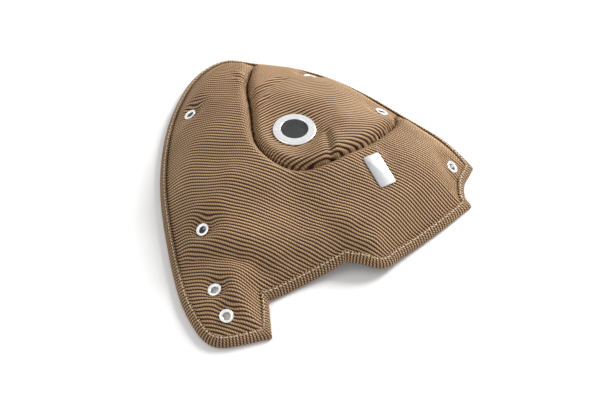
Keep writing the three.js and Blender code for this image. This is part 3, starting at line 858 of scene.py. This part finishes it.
def folded_strip(name, edge, lean_start, lean_end, material):
    at, inward, along = strip_surface(edge, lean_start, lean_end)
    outer = STRIP_CLEARANCE + STRIP_THICKNESS
    top = PINCHED + STRIP_CLEARANCE
    path = [(STRIP_WIDTH, top), (STRIP_WIDTH + 0.5 * MM, top + 0.55 * MM),
            (STRIP_WIDTH - 0.2 * MM, top + 1.05 * MM), (STRIP_WIDTH * 0.62, top + 0.85 * MM),
            (STRIP_WIDTH * 0.3, top + 0.5 * MM), (0.1 * MM, top - 0.5 * MM),
            (-0.8 * MM, top - 1.8 * MM), (-1.2 * MM, PINCHED * 0.35), (-0.9 * MM, -0.6 * MM),
            (0.0, -outer), (STRIP_WIDTH * 0.5, -outer), (STRIP_WIDTH, -outer),
            (STRIP_WIDTH, -STRIP_CLEARANCE),
            (0.2 * MM, -0.2 * MM), (-0.4 * MM, PINCHED * 0.35), (0.6 * MM, top - 1.6 * MM)]
    ribs = np.sqrt(np.abs(np.sin(np.pi * along / RIB_PITCH)))
    girth = np.concatenate([[0], np.cumsum([math.dist(path[i], path[i + 1]) for i in range(len(path) - 1)])])
    points, uv = [], []
    e = 1.0 * MM
    for k in range(len(at)):
        x, y = at[k]
        z = float(base.at(x, y))
        w = Vector((inward[k][0], inward[k][1], 0))
        zi = float(base.at(x + w.x * STRIP_WIDTH, y + w.y * STRIP_WIDTH))
        into = Vector((w.x, w.y, (zi - z) / STRIP_WIDTH))
        side = Vector((-w.y, w.x, 0)) * -INWARD
        up = into.cross(side).normalized()
        if up.z < 0:
            up = -up
        for m, (depth, height) in enumerate(path):
            swell_out = 0.32 * MM * (ribs[k] - 0.5) if m < 11 else 0
            if m < 6:
                push = Vector((0, 0, swell_out))
            elif m < 9:
                push = into * -swell_out
            else:
                push = Vector((0, 0, -0.5 * swell_out)) if m < 11 else Vector()
            points.append(Vector((x, y, z)) + into * depth + up * height + push)
            uv.append((girth[m], along[k]))
    n = len(path)
    faces = []
    for k in range(len(at) - 1):
        for i in range(n):
            j = (i + 1) % n
            faces.append((k * n + i, k * n + j, (k + 1) * n + j, (k + 1) * n + i))
    faces.append(tuple(range(n)))
    faces.append(tuple((len(at) - 1) * n + i for i in reversed(range(n))))
    piece = make_piece(name, points, faces, material)
    set_uv(piece, uv)
    face_outward(piece)
    return piece


def face_outward(piece):
    """Turns a closed piece's faces outwards."""
    mesh = bmesh.new()
    mesh.from_mesh(piece.data)
    bmesh.ops.recalc_face_normals(mesh, faces=mesh.faces)
    mesh.to_mesh(piece.data)
    mesh.free()


def stitches(name, edge, lean_start, lean_end):
    """Cream stitches sunk into the strip near its inner edge, on its upper side."""
    at, inward, along = strip_surface(edge, lean_start, lean_end)
    points, faces, uv = [], [], []
    total = along[-1]
    count = int(total / STITCH_PITCH)
    sides = THREAD_SIDES
    for c in range(count):
        middle = (c + 0.5) * total / count
        ring_starts = []
        for q in range(5):
            share = q / 4
            place = middle + (share - 0.5) * STITCH_LENGTH
            x, y = (np.interp(place, along, at[:, i]) for i in (0, 1))
            wx, wy = (np.interp(place, along, inward[:, i]) for i in (0, 1))
            z0 = float(base.at(x, y))
            z1 = float(base.at(x + wx * STRIP_WIDTH, y + wy * STRIP_WIDTH))
            into = Vector((wx, wy, (z1 - z0) / STRIP_WIDTH))
            side = Vector((-wy, wx, 0)).normalized() * -INWARD
            up = into.cross(side).normalized()
            up = up if up.z > 0 else -up
            sink = 0.85 * MM * (2 * share - 1) ** 4
            height = PINCHED + STRIP_CLEARANCE + 1.15 * MM - sink
            centre = Vector((x, y, z0)) + into * STITCH_FROM_EDGE + up * height
            across = into.normalized()
            ring_starts.append(len(points))
            radius = THREAD / 2 * (0.65 if q in (0, 4) else 1)
            for r in range(sides):
                angle = 2 * math.pi * r / sides
                points.append(centre + (across * math.cos(angle) + up * math.sin(angle)) * radius)
                uv.append((place, r / sides))
        for a, b in zip(ring_starts[:-1], ring_starts[1:]):
            for r in range(sides):
                faces.append((a + r, a + (r + 1) % sides, b + (r + 1) % sides, b + r))
        faces.append(tuple(ring_starts[0] + r for r in reversed(range(sides))))
        faces.append(tuple(ring_starts[-1] + r for r in range(sides)))
    piece = make_piece(name, points, faces, thread)
    set_uv(piece, uv)
    face_outward(piece)
    return piece


def corner_leans(edges):
    """How far each strip's end leans so that two neighbours meet along the corner's bisector."""
    leans = []
    for before, after in zip(edges, edges[1:] + edges[:1]):
        a = before[-1][:2] - before[-4][:2]
        b = after[3][:2] - after[0][:2]
        turn = math.atan2(a[0] * b[1] - a[1] * b[0], a @ b)
        leans.append(math.tan(turn / 2) * INWARD)
    return leans


rim_in_order = main_edges + rear_edges
hems = {"main": [], "cap": []}
leans = corner_leans(rim_in_order)
for number, edge in enumerate(rim_in_order):
    node = strip_node_of(edge)
    lean_start, lean_end = leans[number - 1], leans[number]
    piece = folded_strip(node.replace("_binding", "_strip"), edge, lean_start, lean_end, strip_cloth)
    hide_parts(node)
    seam_thread = stitches(node.replace("_binding", "_stitches"), edge, lean_start, lean_end)
    hems["main" if number < len(main_edges) else "cap"] += [piece, seam_thread]


# Linings and mats, of which only the undersides and edges show

def clear_of_seam(inside):
    """The same area, less a band along the seam."""
    return lambda x, y: inside(x, y) & (line_distance(x, y, seam_line)[0] > 5 * MM)


def even_layer(name, node, inside, step, low, high, material):
    """A closed layer over one panel, between two heights above the lining's underside."""
    corner, far = (np.array(v[:]) for v in cad_box)
    x, y = np.meshgrid(np.arange(corner[0], far[0], step), np.arange(corner[1], far[1], step))
    keep = inside(x, y)
    x, y, bored = cleared_of_bores(x, y)
    cells = cells_of(keep) & ~cells_of(bored)
    number = np.arange(x.size).reshape(x.shape)
    i, j = np.nonzero(cells)
    faces = np.stack([number[i, j], number[i, j + 1], number[i + 1, j + 1], number[i + 1, j]], axis=1)
    used = np.unique(faces)
    remap = np.zeros(x.size, int)
    remap[used] = np.arange(len(used))
    faces = remap[faces]
    x, y = drawn_to_seam(x.ravel()[used], y.ravel()[used], 1.6 * step)
    floor = base.at(x, y)
    seam_off, _ = line_distance(x, y, seam_line)
    full = thickness(x, y, seam_off)
    count = len(used)
    points = np.vstack([np.stack([x, y, floor + low(full)], 1), np.stack([x, y, floor + high(full)], 1)])
    sides = {(int(f[k]), int(f[(k + 1) % 4])) for f in faces for k in range(4)}
    walls = [(a, b, b + count, a + count) for a, b in sides if (b, a) not in sides]
    every = [tuple(f[::-1]) for f in faces] + [tuple(f + count) for f in faces] + walls
    piece = make_piece(name, points, every, material)
    set_uv(piece, np.vstack([np.stack([x, y], 1)] * 2))
    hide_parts(node)
    return piece


for panel_name, inside_panel in (("main", on_main), ("cap", on_cap)):
    lining = even_layer(panel_name + "_lining_cloth", panel_name + "_lining", inside_panel, 1.5 * MM,
                        lambda full: 0 * full, lambda full: 0 * full + LINING_THICKNESS,
                        lining_cloth)
    mat = even_layer(panel_name + "_needled_mat", panel_name + "_mat", clear_of_seam(inside_panel), 3 * MM,
                     lambda full: 0 * full + MAT_ABOVE_LINING, lambda full: full - MAT_BELOW_CLOTH,
                     felt)


# Grommets, turned from their sections

def turned(name, section, steps):
    """Spins a closed section round Z, as on a lathe."""
    bpy.ops.mesh.primitive_circle_add(vertices=3, radius=1 * MM)
    piece = bpy.context.active_object
    piece.name = piece.data.name = name
    mesh = bmesh.new()
    corners = [mesh.verts.new((r, 0, h)) for r, h in section]
    for a, b in zip(corners, corners[1:] + corners[:1]):
        mesh.edges.new((a, b))
    mesh.to_mesh(piece.data)
    mesh.free()
    bpy.ops.object.mode_set(mode="EDIT")
    bpy.ops.mesh.select_all(action="SELECT")
    bpy.ops.mesh.spin(steps=steps, angle=2 * math.pi, center=(0, 0, 0), axis=(0, 0, 1), use_auto_merge=True)
    bpy.ops.mesh.remove_doubles(threshold=0.00001)
    bpy.ops.mesh.normals_make_consistent(inside=False)
    bpy.ops.object.mode_set(mode="OBJECT")
    bpy.ops.object.shade_smooth_by_angle(angle=math.radians(38))
    deselect_all()
    return piece


def eyelet_section(bore, flange):
    """Rolled flange, barrel and curled lower end."""
    width, rise, seat, curl = flange - bore, EYELET_RISE, EYELET_SEAT, CURL
    arc = [(bore + width * share, seat + rise * (0.5 + 0.5 * math.sin(math.pi * min(1, share / 0.32) / 2)))
           for share in (0, 0.06, 0.14, 0.24, 0.32)]
    land = [(bore + width * 0.84, seat + rise)]
    rim = [(bore + width * (0.84 + 0.16 * math.sin(a)), seat + rise * (0.25 + 0.75 * math.cos(a)))
           for a in np.linspace(0.35, math.pi / 2, 5)]
    wall = 0.35 * MM
    return [(bore, curl)] + arc + land + rim + [(flange, seat), (bore + wall, seat), (bore + wall, curl),
                                                (bore + wall + 0.9 * MM, curl),
                                                (bore + wall + 0.7 * MM, curl - 0.3 * MM),
                                                (bore + 0.2 * MM, curl - wall)]


def ring_section(bore, flange):
    """The port ring: a rolled inner lip, a shallow dished face, a fine groove and a rounded rim."""
    width, rise, seat, curl = flange - bore, RING_RISE, EYELET_SEAT, CURL
    lip = [(bore + 0.10 * width * (1 - math.cos(a)), seat + rise * (0.45 + 0.55 * math.sin(a)))
           for a in np.linspace(0, math.pi / 2, 6)]
    face = [(bore + 0.3 * width, seat + 0.97 * rise), (bore + 0.55 * width, seat + 0.94 * rise),
            (bore + 0.74 * width, seat + 0.86 * rise), (bore + 0.765 * width, seat + 0.68 * rise),
            (bore + 0.79 * width, seat + 0.80 * rise)]
    rim = [(bore + width * (0.82 + 0.18 * math.sin(a)), seat + rise * (0.15 + 0.62 * math.cos(a)))
           for a in np.linspace(0.1, math.pi / 2, 6)]
    wall = 0.6 * MM
    return [(bore, curl)] + lip + face + rim + [(flange, seat), (bore + wall, seat), (bore + wall, curl),
                                                (bore + wall + 1.1 * MM, curl),
                                                (bore + wall + 0.9 * MM, curl - 0.5 * MM),
                                                (bore + 0.2 * MM, curl - wall)]


def seated_copy(model, name, node, seat):
    """A copy of a turned piece with its own mesh, stood on its seat."""
    copy = bpy.data.objects.new(name, model.data.copy())
    bpy.context.scene.collection.objects.link(copy)
    turn = Vector((0, 0, 1)).rotation_difference(seat["axis"]).to_matrix().to_4x4()
    copy.data.transform(Matrix.Translation(seat["foot"]) @ turn)
    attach(copy, "root")
    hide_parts(node)
    return copy


def washer_section(hole, edge):
    """A flat washer with eased outer edges."""
    low, high, ease = WASHER_LOW, WASHER_HIGH, 0.15 * MM
    return [(hole, low), (edge - ease, low), (edge, low + ease),
            (edge, high - ease), (edge - ease, high), (hole, high)]


for seat_name, seat in seats.items():
    rise = RING_RISE if seat_name == "port_ring" else EYELET_RISE
    seat["foot"] = seat["top"] - seat["axis"] * (EYELET_SEAT + rise)

eyelet_model = turned("eyelet_model", eyelet_section(EYELET_BORE, EYELET_FLANGE), 40)
eyelet_model.data.materials.append(nickel)
washer_model = turned("washer_model", washer_section(3.45 * MM, 4.7 * MM), 40)
washer_model.data.materials.append(nickel)
ring_model = turned("ring_model", ring_section(RING_BORE, RING_FLANGE), 96)
ring_model.data.materials.append(nickel)
ring_washer_model = turned("ring_washer_model", washer_section(11.3 * MM, 15.75 * MM), 72)
ring_washer_model.data.materials.append(nickel)
for seat_name, seat in seats.items():
    front, back = eyelet_model, washer_model
    if seat_name == "port_ring":
        front, back = ring_model, ring_washer_model
    seated_copy(front, seat_name + "_turned", seat_name, seat)
    seated_copy(back, seat_name + "_back", seat_name + "_washer", seat)
for model in (eyelet_model, washer_model, ring_model, ring_washer_model):
    bpy.data.objects.remove(model)


# Badge plate

def make_badge():
    """A thin plate with round corners and an eased upper edge, lying on the cloth."""
    middle, long, wide, up = badge_seat
    length, width, thick = BADGE_SIZE
    corner, ease = 2.2 * MM, 0.25 * MM
    deselect_all()
    bpy.ops.mesh.primitive_circle_add(vertices=40, radius=corner, fill_type="NGON")
    plate = bpy.context.active_object
    plate.name = plate.data.name = "bare_badge"
    bpy.ops.object.mode_set(mode="EDIT")
    bpy.ops.mesh.select_all(action="SELECT")
    bpy.ops.mesh.extrude_region_move(TRANSFORM_OT_translate={"value": (0, 0, thick - ease)})
    for share in (0.3, 0.7, 1.0):
        angle = share * math.pi / 2
        bpy.ops.mesh.extrude_region_move(TRANSFORM_OT_translate={"value": (0, 0, ease * 0.33)})
        shrink = 1 - ease * (1 - math.cos(angle)) / corner
        bpy.ops.transform.resize(value=(shrink, shrink, 1), center_override=(0, 0, 0))
    bpy.ops.mesh.select_all(action="SELECT")
    bpy.ops.mesh.normals_make_consistent(inside=False)
    bpy.ops.object.mode_set(mode="OBJECT")
    for vertex in plate.data.vertices:
        vertex.co.x += math.copysign(length / 2 - corner, vertex.co.x + 1e-7)
        vertex.co.y += math.copysign(width / 2 - corner, vertex.co.y + 1e-7)
        vertex.co.z -= thick / 2
    turn = Matrix((long, wide, up)).transposed().to_4x4()
    plate.data.transform(Matrix.Translation(middle) @ turn)
    plate.data.materials.append(satin_plate("satin_steel", math.atan2(long.y, long.x)))
    bpy.ops.object.shade_smooth_by_angle(angle=math.radians(35))
    deselect_all()
    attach(plate, "root")
    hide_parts("badge_plate")
    return plate


make_badge()


# Floor, light and camera

def seen_directly(tree):
    """1 for what the camera sees, straight or in metal, and 0 for the light that falls on the blanket."""
    path = tree.node("ShaderNodeLightPath", {}, {})
    rays = [tree.level(path, path.outputs.find(ray))
            for ray in ("Is Camera Ray", "Is Glossy Ray", "Is Transmission Ray")]
    return (rays[0] + rays[1] + rays[2]).clamped()


def shown_white(finish, share):
    """Lightens the floor in the picture by this share, so that only a soft shadow stays on it."""
    glow = finish.node("ShaderNodeEmission", {}, {"Color": (1, 1, 1, 1), "Strength": 1.0})
    both = finish.node("ShaderNodeMixShader", {}, {0: seen_directly(finish) * share,
                                                   1: finish.level(finish.surface), 2: finish.level(glow)})
    out = finish.tree.nodes["Material Output"]
    finish.tree.links.new(both.outputs[0], out.inputs["Surface"])


def make_floor():
    deselect_all()
    bpy.ops.mesh.primitive_plane_add(size=12)
    floor = bpy.context.active_object
    floor.name = "floor"
    finish = Finish("white_floor", roughness=0.9)
    finish.surface.inputs["Base Color"].default_value = (1.0, 1.0, 1.0, 1)
    finish.surface.inputs["Specular IOR Level"].default_value = 0.1
    shown_white(finish, 0.06)
    floor.data.materials.append(finish.material)
    deselect_all()


def make_lamp(name, direction, distance, size, watts):
    data = bpy.data.lights.new(name, "AREA")
    data.shape = "DISK"
    data.size = size
    data.energy = watts
    lamp = bpy.data.objects.new(name, data)
    bpy.context.scene.collection.objects.link(lamp)
    toward = Vector(direction).normalized()
    lamp.location = toward * distance
    lamp.rotation_euler = toward.to_track_quat("Z", "Y").to_euler()


def make_world():
    world = bpy.data.worlds.new("studio")
    bpy.context.scene.world = world
    world.use_nodes = True
    studio = Tree(world.node_tree)
    background = world.node_tree.nodes["Background"]
    background.inputs["Color"].default_value = (1, 1, 1, 1)
    strength = STUDIO_LIGHT + seen_directly(studio) * (1 - STUDIO_LIGHT)
    world.node_tree.links.new(strength.socket, background.inputs["Strength"])


def make_camera():
    data = bpy.data.cameras.new("camera")
    data.lens = CAMERA_LENS
    camera = bpy.data.objects.new("camera", data)
    bpy.context.scene.collection.objects.link(camera)
    back = Vector((0, -math.cos(CAMERA_ELEVATION), math.sin(CAMERA_ELEVATION)))
    camera.location = CAMERA_TARGET + back * CAMERA_DISTANCE
    camera.rotation_euler = (math.pi / 2 - CAMERA_ELEVATION, 0, 0)
    bpy.context.scene.camera = camera


make_floor()
make_world()
make_lamp("key", (0.62, 0.5, 0.6), 1.6, 0.8, 30)
make_lamp("fill", (-0.7, -0.2, 0.9), 1.8, 1.2, 5)
make_camera()
bpy.context.scene.view_settings.view_transform = "Standard"
